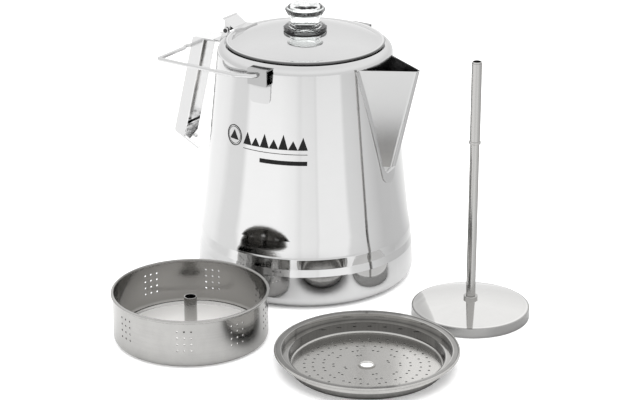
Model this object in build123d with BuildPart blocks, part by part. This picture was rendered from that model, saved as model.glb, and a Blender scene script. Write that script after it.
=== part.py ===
from build123d import *
from math import cos, radians, sin, tan
import os

# Percolator coffee pot with its basket, spreader plate and pump stem standing beside it.
# Millimetres, +Z up. The origin is the centre of the pot's base, +X is the spout, -X the handle.

# ---------------------------------------------------------------- pot body
sheet = 1.0
base_disc_radius = 86.0
foot_radius = 100.6
foot_corner_radius = 10.0
lower_band_radius = 99.4
lower_band_top = 31.0
middle_band_radius = 98.1
middle_band_bottom = 38.0
middle_band_top_radius = 97.5
middle_band_top = 47.0
cone_foot_radius = 95.6
cone_foot_height = 56.0
step_fillet = 3.0
flare_fillet = 140.0
cone_top_radius = 79.05
rim_top = 221.2
shoulder_radius = 8.5
inner_shoulder_radius = 6.0
recess_radius = 73.5
seat_height = 219.9
mouth_radius = 70.0
mouth_lip_bottom = 215.4

# ---------------------------------------------------------------- spout
spout_sheet = 1.0
spout_top = 214.0
spout_foot = 111.0
spout_root_x = 60.0
spout_tip_x = 120.3
spout_foot_tip_x = 89.4
spout_heel = 121.0
spout_heel_tip_x = 97.2
spout_top_nose = 4.5
spout_foot_nose = 7.5
spout_side_angle = 29.5
spout_headroom_top = 218.0
flange_sheet = 0.8
flange_top = 213.0
flange_half_width = 31.0
flange_apex = 62.9
flange_tip_fillet = 10.3
strainer_hole_radius = 2.5
strainer_punch_depth = 20.0
strainer_pitch = 8.0
strainer_top_row = 204.0
strainer_rows = [4, 5, 4, 3, 2]

# ---------------------------------------------------------------- handle
handle_half_width = 11.25
handle_sheet = 1.5
handle_top = 209.6
handle_corner_x = -118.5
handle_heel_x = -142.5
handle_heel_z = 112.0
handle_bend_radius = 3.0
grip_flange_sheet = 1.2
grip_flange_depth = 10.5
lower_arm_root_x = -92.0
lower_arm_root_z = 86.8
return_leg_length = 31.0
lower_arm_overlap_start = 4.0
weld_tab_sheet = 1.5
top_tab_bottom = 192.0
lower_tab_height = 16.0
rivet_positions = [8.5, 17.0]
rivet_shank_radius = 1.5
rivet_head_radius = 2.2
rivet_head_height = 0.9

# ---------------------------------------------------------------- lid hinge
hinge_x = -80.2
hinge_z = 221.2
hinge_pin_radius = 1.5
hinge_pin_head_radius = 2.0
hinge_pin_head_height = 0.7
running_clearance = 0.08
lug_inner_y = 10.9
lug_sheet = 1.2
lug_outer_x = -87.0
lug_inner_x = -80.2
lug_eye_radius = 3.1
bracket_sheet = 1.2
bracket_outer_x = -94.0

# ---------------------------------------------------------------- bail and its ears
bail_axis_x = 6.8
bail_axis_z = 213.7
bail_wire_radius = 1.9
bail_reach = 140.1
bail_droop = 7.9
bail_cross_half = 47.0
bail_arm_y = 90.2
bail_end_y = 83.4
bail_straight = 22.0
bail_waist_radius = 12.0
bail_bend_radius = 4.0
bail_ear_bend = 2.2
bail_kink_half = 7.0
bail_kink_depth = 3.5
ear_half_width = 10.0
ear_sheet = 1.2
ear_plate_y = 87.0
ear_shelf_inner_y = 74.0
ear_bottom = 187.2
ear_shelf = 204.4
ear_top = 219.0
ear_corner_radius = 4.0

# ---------------------------------------------------------------- lid
lid_sheet = 0.9
lid_bead_centre = 70.8
lid_bead_radius = 1.5
lid_bead_z = 222.5
lid_brim_top = 223.4
lid_brim_inner = 66.5
lid_dome_mid_radius = 46.0
lid_dome_mid_z = 229.4
lid_crown_radius = 23.0
lid_crown_top = 232.0
lid_hole_radius = 13.2
lid_notch_radius = 15.6
lid_notch_half_width = 3.6
collar_radius = 65.4
collar_sheet = 0.8
collar_bottom = 213.8
leaf_half_width = 10.3
leaf_sheet = 1.2
leaf_foot_inner_x = -60.0
leaf_foot_inner_top = 227.0
leaf_foot_top = 225.4
leaf_foot_outer_x = -71.9
leaf_tab_x = -83.2
leaf_tab_z = 232.2
leaf_eye_radius = 2.9
leaf_cheek_share_low = 0.3
leaf_cheek_share_high = 0.85

# ---------------------------------------------------------------- glass knob
gasket_radius = 18.8
gasket_bore = 13.6
knob_flange_radius = 19.6
knob_flange_bottom = 233.2
knob_flange_top = 236.4
knob_flange_fillet = 0.9
knob_shoulder_radius = 17.6
knob_neck_radius = 13.4
knob_neck_z = 240.8
knob_bulge_radius = 18.2
knob_bulge_z = 251.6
knob_top_radius = 12.5
knob_top_z = 257.8
knob_top_slope = 1.0
knob_crown_z = 258.5
knob_spigot_radius = 12.8
knob_spigot_bottom = 227.6
knob_wall = 2.6
knob_cavity_top = 254.8
knob_lug_radius = 15.2
knob_lug_half_width = 3.2
knob_lug_height = 2.2
knob_lug_gap = 0.3

# ---------------------------------------------------------------- basket
basket_x = 0.8
basket_y = -182.8
basket_radius = 67.6
basket_sheet = 0.8
basket_height = 43.9
basket_bead_radius = 1.5
basket_corner_radius = 5.0
basket_step_radius = 35.0
basket_step_height = 2.0
basket_bore_radius = 4.75
basket_hole_radius = 0.9
basket_hole_pitch = 6.0
basket_hole_rows = [33.8, 27.9, 22.0, 16.1]
basket_hole_turns = [19.8, 61.2, 109.4, 158.2, 205.0, 251.7, 301.8, 342.5]
basket_tube_radius = 5.6
basket_tube_top = 37.0
basket_tube_flange_radius = 9.0
basket_tube_flange = 0.9

# ---------------------------------------------------------------- spreader plate
spreader_x = 162.4
spreader_y = -151.0
spreader_sheet = 0.7
spreader_rim_radius = 79.0
spreader_rim_top = 16.4
spreader_bead_radius = 1.0
spreader_step_radius = 73.2
spreader_ledge_top = 10.0
spreader_dish_radius = 66.7
spreader_dish_fillet = 3.0
spreader_bore_radius = 6.0
spreader_lip_radius = 7.4
spreader_lip_height = 1.6
spreader_hole_radius = 1.05
spreader_pair_half_angle = 4.5
spreader_pair_rings = [(19.3, 4, 52.2), (28.5, 10, 34.8), (37.2, 15, 34.7), (46.0, 18, 43.0)]
spreader_outer_ring_radius = 53.3
spreader_outer_ring_count = 40
spreader_outer_ring_phase = 39.4

# ---------------------------------------------------------------- pump stem
stem_x = 182.8
stem_y = -9.3
stem_tube_radius = 4.2
stem_bore_radius = 3.4
stem_top = 236.3
stem_tube_bottom = 13.8
stem_stop_radius = 5.3
stem_stop_bottom = 161.8
stem_stop_top = 164.2
stem_sleeve_radius = 4.6
stem_sleeve_top = 234.9
stem_collar_radius = 6.25
stem_collar_top = 18.2
stem_foot_radius = 52.6
stem_foot_sheet = 0.9
stem_skirt_height = 8.5
stem_foot_mid_radius = 34.0
stem_foot_mid_z = 12.6
stem_hub_radius = 9.0
stem_hub_top = 15.4
stem_edge_round = 0.6

os.makedirs("parts", exist_ok=True)

cone_slope = (cone_top_radius - cone_foot_radius) / (rim_top - cone_foot_height)
foot_corner = foot_corner_radius - sheet
cut_depth = 2 * foot_radius


def cone_radius(height):
    """Outer radius of the straight wall at a height."""
    return cone_foot_radius + cone_slope * (height - cone_foot_height)


def outer_points():
    """Corners of the outer wall from the base up to the shoulder."""
    return [
        (foot_radius, 0),
        (lower_band_radius, lower_band_top),
        (middle_band_radius, middle_band_bottom),
        (middle_band_top_radius, middle_band_top),
        (cone_foot_radius, cone_foot_height),
        (cone_top_radius, rim_top),
    ]


def round_outline(sketch, offset, corner, shoulder, shoulder_z):
    """Round the base corner, the pressed steps and the shoulder of a wall outline."""
    corners = outer_points()
    bends = [step_fillet, step_fillet, step_fillet, flare_fillet]
    for (radius, height), bend in zip(corners[1:5], bends):
        near = sketch.vertices().sort_by_distance((radius - offset, height, 0))[0]
        fillet(near, bend)
    near = sketch.vertices().sort_by_distance((foot_radius - offset, offset, 0))[0]
    fillet(near, corner)
    near = sketch.vertices().sort_by_distance((cone_top_radius - offset, shoulder_z, 0))[0]
    fillet(near, shoulder)


def wall_band(bottom, top, thickness):
    """Points of a thin band lying on the straight wall."""
    return [
        (cone_radius(bottom), bottom),
        (cone_radius(bottom) + thickness, bottom),
        (cone_radius(top) + thickness, top),
        (cone_radius(top), top),
    ]


# Everything inside the outer skin of the pot, used to trim what is welded on it.
with BuildPart() as envelope:
    with BuildSketch(Plane.XZ) as envelope_outline:
        with BuildLine():
            Polyline([(0, 0)] + outer_points() + [(0, rim_top)], close=True)
        make_face()
        round_outline(envelope_outline, 0, foot_corner_radius, shoulder_radius, rim_top)
    revolve(axis=Axis.Z)

# Pot wall: drawn sheet with a rolled shoulder, lid seat and pressed bands near the foot.
inner_points = [
    (mouth_radius, rim_top),
    (mouth_radius, mouth_lip_bottom),
    (mouth_radius + sheet, mouth_lip_bottom),
    (mouth_radius + sheet, seat_height - sheet),
    (cone_top_radius - sheet, seat_height - sheet),
]
inner_points += [(radius - sheet, height) for radius, height in reversed(outer_points()[1:5])]
inner_points += [(foot_radius - sheet, sheet), (base_disc_radius, sheet)]

strainer_holes = []
for row, count in enumerate(strainer_rows):
    row_height = strainer_top_row - row * strainer_pitch
    for column in range(count):
        offset_y = (column - (count - 1) / 2) * strainer_pitch
        strainer_holes.append(Plane(origin=(cone_radius(row_height), offset_y, row_height), z_dir=(1, 0, 0)))

with BuildPart() as pot_wall:
    with BuildSketch(Plane.XZ) as wall_outline:
        with BuildLine():
            Polyline([(base_disc_radius, 0)] + outer_points() + inner_points, close=True)
        make_face()
        round_outline(wall_outline, 0, foot_corner_radius, shoulder_radius, rim_top)
        round_outline(wall_outline, sheet, foot_corner, inner_shoulder_radius, seat_height - sheet)
        with Locations(((mouth_radius + recess_radius) / 2, rim_top)):
            Rectangle(recess_radius - mouth_radius, 2 * (rim_top - seat_height), mode=Mode.SUBTRACT)
    revolve(axis=Axis.Z)
    with Locations(*strainer_holes):
        Cylinder(strainer_hole_radius, strainer_punch_depth, mode=Mode.SUBTRACT)
pot_wall.part.label = "pot_wall"
export_step(pot_wall.part, "parts/pot_wall.step")

# Pot base: flat disc welded into the turned-in foot of the wall.
with BuildPart() as pot_base:
    Cylinder(base_disc_radius, sheet, align=(Align.CENTER, Align.CENTER, Align.MIN))
pot_base.part.label = "pot_base"
export_step(pot_base.part, "parts/pot_base.step")


# Spout: folded V of sheet with a rounded nose, a sloping heel and a lip at the top.
heel_slope = (spout_heel_tip_x - spout_foot_tip_x) / (spout_heel - spout_foot)
nose_slope = (spout_tip_x - spout_heel_tip_x) / (spout_top - spout_heel)
nose_taper = (spout_top_nose - spout_foot_nose) / (spout_top - spout_foot)


def spout_section(height, inset):
    """Closed outline of the spout at a height, moved in by a sheet thickness."""
    below_heel = min(height, spout_heel) - spout_foot
    above_heel = max(height, spout_heel) - spout_heel
    nose = spout_foot_nose + nose_taper * (height - spout_foot)
    tip = spout_foot_tip_x + heel_slope * below_heel + nose_slope * above_heel
    centre = tip - nose
    small = nose - inset
    side = radians(spout_side_angle)
    touch_x = centre + small * sin(side)
    touch_y = small * cos(side)
    half = touch_y + (touch_x - spout_root_x) * tan(side)
    with BuildSketch(Plane.XY.offset(height)) as section:
        with BuildLine():
            Line((spout_root_x, -half), (touch_x, -touch_y))
            ThreePointArc((touch_x, -touch_y), (centre + small, 0), (touch_x, touch_y))
            Line((touch_x, touch_y), (spout_root_x, half))
            Line((spout_root_x, half), (spout_root_x, -half))
        make_face()
    return section.sketch


with BuildPart() as spout_passage:
    for low, high in [(spout_foot, spout_heel), (spout_heel, spout_top), (spout_top, spout_headroom_top)]:
        loft([spout_section(low, spout_sheet), spout_section(high, spout_sheet)], ruled=True)

with BuildPart() as spout:
    with BuildSketch(Plane.XZ):
        Polygon(*wall_band(flange_apex, flange_top, flange_sheet), align=None)
    revolve(axis=Axis.Z)
    with BuildSketch(Plane.YZ) as flange_outline:
        with BuildLine():
            Polyline(
                (-flange_half_width, flange_top + flange_sheet),
                (0, flange_apex),
                (flange_half_width, flange_top + flange_sheet),
                close=True,
            )
        make_face()
        fillet(flange_outline.vertices().sort_by(Axis.Y)[0], flange_tip_fillet)
    extrude(amount=cut_depth, mode=Mode.INTERSECT)
    for low, high in [(spout_foot, spout_heel), (spout_heel, spout_top)]:
        loft([spout_section(low, 0), spout_section(high, 0)], ruled=True)
    add(spout_passage.part, mode=Mode.SUBTRACT)
    add(envelope.part, mode=Mode.SUBTRACT)
spout.part.label = "spout"
export_step(spout.part, "parts/spout.step")


# Handle: one folded channel with a flat top arm, a flanged grip and a short return leg.
heel = Vector(handle_heel_x, 0, handle_heel_z)
lower_arm_root = Vector(lower_arm_root_x, 0, lower_arm_root_z)
leg_direction = (lower_arm_root - heel).normalized()
leg_normal = Vector(-leg_direction.Z, 0, leg_direction.X)
corner = Vector(handle_corner_x, 0, handle_top)
grip_direction = (heel - corner).normalized()
grip_normal = Vector(-grip_direction.Z, 0, grip_direction.X)
leg_end = heel + leg_direction * return_leg_length
arm_start = Vector(-cone_radius(handle_top) + sheet, 0, handle_top)


def xz(point):
    """A point in the handle's own upright plane."""
    return (point.X, point.Z, 0)


def crossing(start, direction, other, other_direction):
    """Point where two lines in the handle's plane meet."""
    delta = other - start
    below = direction.X * other_direction.Z - direction.Z * other_direction.X
    share = (delta.X * other_direction.Z - delta.Z * other_direction.X) / below
    return start + direction * share


with BuildPart() as rivet_shanks:
    for distance in rivet_positions:
        lap_point = heel + leg_direction * distance + leg_normal * handle_sheet
        with Locations(Plane(origin=lap_point, z_dir=leg_normal)):
            Cylinder(rivet_shank_radius, 2 * handle_sheet)

inner_arm = arm_start - Vector(0, 0, handle_sheet)
inner_grip = corner + grip_normal * handle_sheet
inner_leg = heel + leg_normal * handle_sheet
flange_line = corner + grip_normal * (handle_sheet + grip_flange_depth)
arm_direction = Vector(-1, 0, 0)
inner_corner = crossing(inner_arm, arm_direction, inner_grip, grip_direction)
inner_heel = crossing(inner_grip, grip_direction, inner_leg, leg_direction)
flange_upper = crossing(inner_arm, arm_direction, flange_line, grip_direction)
flange_lower = crossing(flange_line, grip_direction, inner_leg, leg_direction)
inner_leg_end = leg_end + leg_normal * handle_sheet

with BuildPart() as handle:
    with BuildSketch(Plane.XZ) as strip:
        with BuildLine():
            Polyline(
                xz(arm_start),
                xz(corner),
                xz(heel),
                xz(leg_end),
                xz(inner_leg_end),
                xz(inner_heel),
                xz(inner_corner),
                xz(inner_arm),
                close=True,
            )
        make_face()
        for bend in [corner, heel]:
            near = strip.vertices().sort_by_distance(xz(bend))[0]
            fillet(near, handle_bend_radius)
        for bend in [inner_corner, inner_heel]:
            near = strip.vertices().sort_by_distance(xz(bend))[0]
            fillet(near, handle_bend_radius - handle_sheet)
    extrude(amount=handle_half_width, both=True)
    for side in [-1, 1]:
        plane = Plane.XZ.offset(side * (handle_half_width - grip_flange_sheet / 2))
        with BuildSketch(plane):
            Polygon(xz(inner_corner), xz(inner_heel), xz(flange_lower), xz(flange_upper), align=None)
        extrude(amount=grip_flange_sheet / 2, both=True)
    with BuildSketch(Plane.XZ):
        Polygon(*wall_band(top_tab_bottom, handle_top, weld_tab_sheet), align=None)
    revolve(axis=Axis.Z, mode=Mode.ADD)
    with Locations((handle_heel_x, 0, handle_heel_z)):
        Box(-2 * handle_heel_x, 2 * handle_half_width, 2 * handle_heel_z, mode=Mode.INTERSECT)
    add(envelope.part, mode=Mode.SUBTRACT)
    add(rivet_shanks.part, mode=Mode.SUBTRACT)
handle.part.label = "handle"
export_step(handle.part, "parts/handle.step")

# Lower arm: strip lapped onto the return leg and welded to the wall by an upright tab.
lap_start = heel + leg_direction * lower_arm_overlap_start + leg_normal * handle_sheet
lap_end = lower_arm_root + leg_direction * handle_half_width + leg_normal * handle_sheet
lap_end_top = lap_end + leg_normal * handle_sheet
lap_start_top = lap_start + leg_normal * handle_sheet
arm_half_width = handle_half_width - grip_flange_sheet - running_clearance

with BuildPart() as handle_arm:
    with BuildSketch(Plane.XZ):
        Polygon(xz(lap_start), xz(lap_end), xz(lap_end_top), xz(lap_start_top), align=None)
    extrude(amount=arm_half_width, both=True)
    with BuildSketch(Plane.XZ):
        tab_bottom = lower_arm_root_z + handle_sheet
        Polygon(*wall_band(tab_bottom, tab_bottom + lower_tab_height, weld_tab_sheet), align=None)
    revolve(axis=Axis.Z)
    with Locations((handle_heel_x / 2 - cone_radius(rim_top) / 2, 0, handle_heel_z)):
        Box(-handle_heel_x, 2 * arm_half_width, 2 * handle_heel_z, mode=Mode.INTERSECT)
    add(envelope.part, mode=Mode.SUBTRACT)
    add(rivet_shanks.part, mode=Mode.SUBTRACT)
handle_arm.part.label = "handle_arm"
export_step(handle_arm.part, "parts/handle_arm.step")

# Rivets: two dome-headed rivets that fasten the lower arm to the return leg.
rivet_half_grip = handle_sheet
with BuildPart() as handle_rivets:
    add(rivet_shanks.part)
    for distance in rivet_positions:
        for side in [-1, 1]:
            lift = handle_sheet + side * (rivet_half_grip + rivet_head_height / 2)
            head_centre = heel + leg_direction * distance + leg_normal * lift
            with Locations(Plane(origin=head_centre, z_dir=leg_normal)):
                Cylinder(rivet_head_radius, rivet_head_height)
    rims = handle_rivets.edges().filter_by(GeomType.CIRCLE)
    outer_rims = [
        edge
        for edge in rims
        if abs((edge.center() - heel).dot(leg_normal) - handle_sheet) > rivet_half_grip + rivet_head_height / 2
    ]
    fillet(outer_rims, rivet_head_height / 2)
handle_rivets.part.label = "handle_rivets"
export_step(handle_rivets.part, "parts/handle_rivets.step")

# Hinge bracket: plate on the handle's top arm with two upright lugs for the pin.
with BuildPart() as hinge_bracket:
    bracket_width = 2 * (lug_inner_y + lug_sheet)
    bracket_length = lug_inner_x - bracket_outer_x
    with Locations(((lug_inner_x + bracket_outer_x) / 2, 0, handle_top + bracket_sheet / 2)):
        Box(bracket_length, bracket_width, bracket_sheet)
    for side in [-1, 1]:
        with BuildSketch(Plane.XZ.offset(side * (lug_inner_y + lug_sheet / 2))):
            Polygon(
                (lug_outer_x, handle_top),
                (hinge_x - lug_eye_radius, hinge_z),
                (hinge_x + lug_eye_radius, hinge_z),
                (lug_inner_x, handle_top),
                align=None,
            )
            with Locations((hinge_x, hinge_z)):
                Circle(lug_eye_radius)
        extrude(amount=lug_sheet / 2, both=True)
    with Locations(Plane(origin=(hinge_x, 0, hinge_z), z_dir=(0, 1, 0))):
        Cylinder(hinge_pin_radius, 2 * bracket_width, mode=Mode.SUBTRACT)
    add(envelope.part, mode=Mode.SUBTRACT)
hinge_bracket.part.label = "hinge_bracket"
export_step(hinge_bracket.part, "parts/hinge_bracket.step")

# Hinge pin: plain pin peened over outside each lug.
with BuildPart() as hinge_pin:
    pin_span = lug_inner_y + lug_sheet
    with Locations(Plane(origin=(hinge_x, 0, hinge_z), z_dir=(0, 1, 0))):
        Cylinder(hinge_pin_radius, 2 * pin_span)
        with Locations((0, 0, pin_span + hinge_pin_head_height / 2)):
            Cylinder(hinge_pin_head_radius, hinge_pin_head_height)
        with Locations((0, 0, -pin_span - hinge_pin_head_height / 2)):
            Cylinder(hinge_pin_head_radius, hinge_pin_head_height)
    pin_rims = hinge_pin.edges().filter_by(GeomType.CIRCLE).sort_by(Axis.Y)
    fillet([pin_rims[0], pin_rims[-1]], hinge_pin_head_height / 2)
hinge_pin.part.label = "hinge_pin"
export_step(hinge_pin.part, "parts/hinge_pin.step")

# Bail ears: tongue welded on the wall and a folded channel that holds the wire's turned-in end.
for side, ear_name in [(-1, "ear_right"), (1, "ear_left")]:
    with BuildPart() as ear:
        with BuildSketch(Plane.XZ):
            Polygon(*wall_band(ear_bottom, ear_shelf + ear_sheet, ear_sheet), align=None)
        revolve(axis=Axis.Z)
        with BuildSketch(Plane.XZ) as tongue_outline:
            with Locations((bail_axis_x, (ear_bottom + ear_top) / 2)):
                Rectangle(2 * ear_half_width, ear_top - ear_bottom)
            fillet(tongue_outline.vertices().sort_by(Axis.Y)[0:2], ear_corner_radius)
        extrude(amount=-side * cut_depth, mode=Mode.INTERSECT)
        shelf_depth = ear_plate_y - ear_shelf_inner_y
        for shelf_z in [ear_shelf + ear_sheet / 2, ear_top - ear_sheet / 2]:
            with Locations((bail_axis_x, side * (ear_plate_y - shelf_depth / 2), shelf_z)):
                Box(2 * ear_half_width, shelf_depth, ear_sheet)
        with Locations((bail_axis_x, side * (ear_plate_y - ear_sheet / 2), (ear_shelf + ear_top) / 2)):
            Box(2 * ear_half_width, ear_sheet, ear_top - ear_shelf)
        with Locations(Plane(origin=(bail_axis_x, side * ear_plate_y, bail_axis_z), z_dir=(0, 1, 0))):
            Cylinder(bail_wire_radius + running_clearance, 2 * ear_half_width, mode=Mode.SUBTRACT)
        add(envelope.part, mode=Mode.SUBTRACT)
    ear.part.label = ear_name
    export_step(ear.part, f"parts/{ear_name}.step")

# Bail: one bent wire with its ends turned in through the ears and a hanging notch.
droop = radians(bail_droop)
bail_plane = Plane(
    origin=(bail_axis_x, 0, bail_axis_z),
    x_dir=(-cos(droop), 0, -sin(droop)),
    z_dir=(sin(droop), 0, -cos(droop)),
)
bail_half = [
    (0, bail_end_y),
    (0, bail_arm_y),
    (bail_straight, bail_arm_y),
    (bail_reach, bail_cross_half),
    (bail_reach, bail_kink_half),
]
bail_points = bail_half + [(bail_reach + bail_kink_depth, 0)]
bail_points += [(along, -across) for along, across in reversed(bail_half)]
bend_radii = [bail_ear_bend, bail_waist_radius, bail_bend_radius, bail_bend_radius, bail_ear_bend]
with BuildPart() as bail:
    with BuildLine(bail_plane) as bail_path:
        FilletPolyline(*bail_points, radius=bend_radii + bend_radii[-2::-1])
    with BuildSketch(Plane(origin=bail_path.line @ 0, z_dir=bail_path.line % 0)):
        Circle(bail_wire_radius)
    sweep()
bail.part.label = "bail"
export_step(bail.part, "parts/bail.step")


# Lid: spun dome with a flat brim, a rolled edge bead and a notched hole for the knob.
def dome_arc(drop):
    """Curve of the dome from brim to crown, lowered by a thickness."""
    ThreePointArc(
        (lid_brim_inner, lid_brim_top - drop),
        (lid_dome_mid_radius, lid_dome_mid_z - drop),
        (lid_crown_radius, lid_crown_top - drop),
    )


with BuildPart() as lid_envelope:
    with BuildSketch(Plane.XZ):
        with BuildLine():
            dome_arc(0)
            Polyline(
                (lid_crown_radius, lid_crown_top),
                (0, lid_crown_top),
                (0, collar_bottom),
                (lid_bead_centre, collar_bottom),
                (lid_bead_centre, lid_brim_top),
                (lid_brim_inner, lid_brim_top),
            )
        make_face()
        with Locations((lid_bead_centre, lid_bead_z)):
            Circle(lid_bead_radius)
    revolve(axis=Axis.Z)

with BuildPart() as under_dome:
    with BuildSketch(Plane.XZ):
        with BuildLine():
            dome_arc(lid_sheet)
            Polyline(
                (lid_crown_radius, lid_crown_top - lid_sheet),
                (0, lid_crown_top - lid_sheet),
                (0, collar_bottom),
                (lid_brim_inner, collar_bottom),
                (lid_brim_inner, lid_brim_top - lid_sheet),
            )
        make_face()
    revolve(axis=Axis.Z)

with BuildPart() as lid_dome:
    with BuildSketch(Plane.XZ):
        with BuildLine():
            dome_arc(0)
            Polyline(
                (lid_crown_radius, lid_crown_top),
                (lid_hole_radius, lid_crown_top),
                (lid_hole_radius, lid_crown_top - lid_sheet),
                (lid_crown_radius, lid_crown_top - lid_sheet),
            )
            dome_arc(lid_sheet)
            Polyline(
                (lid_brim_inner, lid_brim_top - lid_sheet),
                (lid_bead_centre, lid_brim_top - lid_sheet),
                (lid_bead_centre, lid_brim_top),
                (lid_brim_inner, lid_brim_top),
            )
        make_face()
        with Locations((lid_bead_centre, lid_bead_z)):
            Circle(lid_bead_radius)
    revolve(axis=Axis.Z)
    with BuildSketch(Plane.XY.offset(lid_crown_top)) as notch_outline:
        Circle(lid_notch_radius)
        Rectangle(2 * lid_notch_radius, 2 * lid_notch_half_width, mode=Mode.INTERSECT)
    extrude(amount=-2 * lid_sheet, mode=Mode.SUBTRACT)
lid_dome.part.label = "lid_dome"
export_step(lid_dome.part, "parts/lid_dome.step")

# Lid collar: ring under the dome that locates the lid in the mouth.
with BuildPart() as lid_collar:
    with BuildSketch(Plane.XY.offset(collar_bottom)):
        Circle(collar_radius)
        Circle(collar_radius - collar_sheet, mode=Mode.SUBTRACT)
    extrude(amount=lid_crown_top - collar_bottom)
    add(under_dome.part, mode=Mode.INTERSECT)
lid_collar.part.label = "lid_collar"
export_step(lid_collar.part, "parts/lid_collar.step")

# Hinge leaf: foot on the lid's edge, thumb tab with a rolled end, and two cheeks with eyes.
tab_slope = (Vector(leaf_tab_x, 0, leaf_tab_z) - Vector(leaf_foot_outer_x, 0, leaf_foot_top)).normalized()
tab_normal = Vector(tab_slope.Z, 0, -tab_slope.X)
tab_root = Vector(leaf_foot_outer_x, 0, leaf_foot_top)
tab_end = Vector(leaf_tab_x, 0, leaf_tab_z)
under_root = tab_root - tab_normal * leaf_sheet
under_end = tab_end - tab_normal * leaf_sheet
cheek_top = under_root + tab_slope * (leaf_cheek_share_high * (under_end - under_root).length)
cheek_low = under_root + tab_slope * (leaf_cheek_share_low * (under_end - under_root).length)
with BuildPart() as hinge_leaf:
    with BuildSketch(Plane.XZ):
        Polygon(
            (leaf_foot_inner_x, lid_brim_top),
            (leaf_foot_inner_x, leaf_foot_inner_top),
            xz(tab_root),
            xz(tab_end),
            xz(under_end),
            xz(under_root),
            (-lid_bead_centre, lid_brim_top),
            align=None,
        )
        with Locations(((tab_end.X + under_end.X) / 2, (tab_end.Z + under_end.Z) / 2)):
            Circle(leaf_sheet)
    extrude(amount=leaf_half_width, both=True)
    for side in [-1, 1]:
        with BuildSketch(Plane.XZ.offset(side * (leaf_half_width - leaf_sheet / 2))):
            Polygon(
                xz(cheek_low),
                xz(cheek_top),
                (hinge_x - leaf_eye_radius, hinge_z),
                (hinge_x + leaf_eye_radius, hinge_z),
                align=None,
            )
            with Locations((hinge_x, hinge_z)):
                Circle(leaf_eye_radius)
        extrude(amount=leaf_sheet / 2, both=True)
    with Locations(Plane(origin=(hinge_x, 0, hinge_z), z_dir=(0, 1, 0))):
        Cylinder(hinge_pin_radius + running_clearance, 4 * leaf_half_width, mode=Mode.SUBTRACT)
    add(lid_envelope.part, mode=Mode.SUBTRACT)
hinge_leaf.part.label = "hinge_leaf"
export_step(hinge_leaf.part, "parts/hinge_leaf.step")

# Gasket: flat ring between the lid and the glass knob.
with BuildPart() as knob_gasket:
    with BuildSketch(Plane.XY.offset(lid_crown_top)):
        Circle(gasket_radius)
        Circle(gasket_bore, mode=Mode.SUBTRACT)
    extrude(amount=knob_flange_bottom - lid_crown_top)
knob_gasket.part.label = "knob_gasket"
export_step(knob_gasket.part, "parts/knob_gasket.step")

# Glass knob: hollow, with a flange, a waist and two lugs that lock under the lid.
with BuildPart() as knob_glass:
    with BuildSketch(Plane.XZ) as knob_outline:
        with BuildLine():
            Polyline(
                (0, knob_spigot_bottom),
                (knob_spigot_radius, knob_spigot_bottom),
                (knob_spigot_radius, knob_flange_bottom),
                (knob_flange_radius, knob_flange_bottom),
                (knob_flange_radius, knob_flange_top),
                (knob_shoulder_radius, knob_flange_top),
            )
            Spline(
                (knob_shoulder_radius, knob_flange_top),
                (knob_neck_radius, knob_neck_z),
                (knob_bulge_radius, knob_bulge_z),
                (knob_top_radius, knob_top_z),
                tangents=((-1, 0), (-1, knob_top_slope)),
            )
            Line((knob_top_radius, knob_top_z), (0, knob_crown_z))
            Line((0, knob_crown_z), (0, knob_spigot_bottom))
        make_face()
        edge_corners = knob_outline.vertices().sort_by_distance((knob_flange_radius, knob_flange_top))[0:2]
        fillet(edge_corners, knob_flange_fillet)
    revolve(axis=Axis.Z)
    with BuildSketch(Plane.XZ):
        with BuildLine():
            Polyline(
                (0, knob_spigot_bottom),
                (knob_spigot_radius - knob_wall, knob_spigot_bottom),
                (knob_spigot_radius - knob_wall, knob_neck_z),
            )
            Spline(
                (knob_spigot_radius - knob_wall, knob_neck_z),
                (knob_bulge_radius - knob_wall, knob_bulge_z),
                (0, knob_cavity_top),
                tangents=((0, 1), (-1, 0)),
            )
            Line((0, knob_cavity_top), (0, knob_spigot_bottom))
        make_face()
    revolve(axis=Axis.Z, mode=Mode.SUBTRACT)
    lug_top = lid_crown_top - lid_sheet - knob_lug_gap
    with BuildSketch(Plane.XY.offset(lug_top)):
        Circle(knob_lug_radius)
        Rectangle(2 * knob_lug_half_width, 2 * knob_lug_radius, mode=Mode.INTERSECT)
        Circle(knob_spigot_radius - knob_wall, mode=Mode.SUBTRACT)
    extrude(amount=-knob_lug_height)
knob_glass.part.label = "knob_glass"
export_step(knob_glass.part, "parts/knob_glass.step")

# Basket cup: straight wall with a rolled rim, a stepped floor and groups of drain holes.
basket_side = Plane(origin=(basket_x, basket_y, 0), x_dir=(1, 0, 0), z_dir=(0, -1, 0))
basket_axis = Axis((basket_x, basket_y, 0), (0, 0, 1))
basket_holes = []
for turn in basket_hole_turns:
    for column in [-1, 0, 1]:
        angle = radians(turn) + column * basket_hole_pitch / basket_radius
        for row_height in basket_hole_rows:
            hole_x = basket_x + basket_radius * cos(angle)
            hole_y = basket_y + basket_radius * sin(angle)
            hole_centre = (hole_x, hole_y, row_height)
            basket_holes.append(Plane(origin=hole_centre, z_dir=(cos(angle), sin(angle), 0)))

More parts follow.
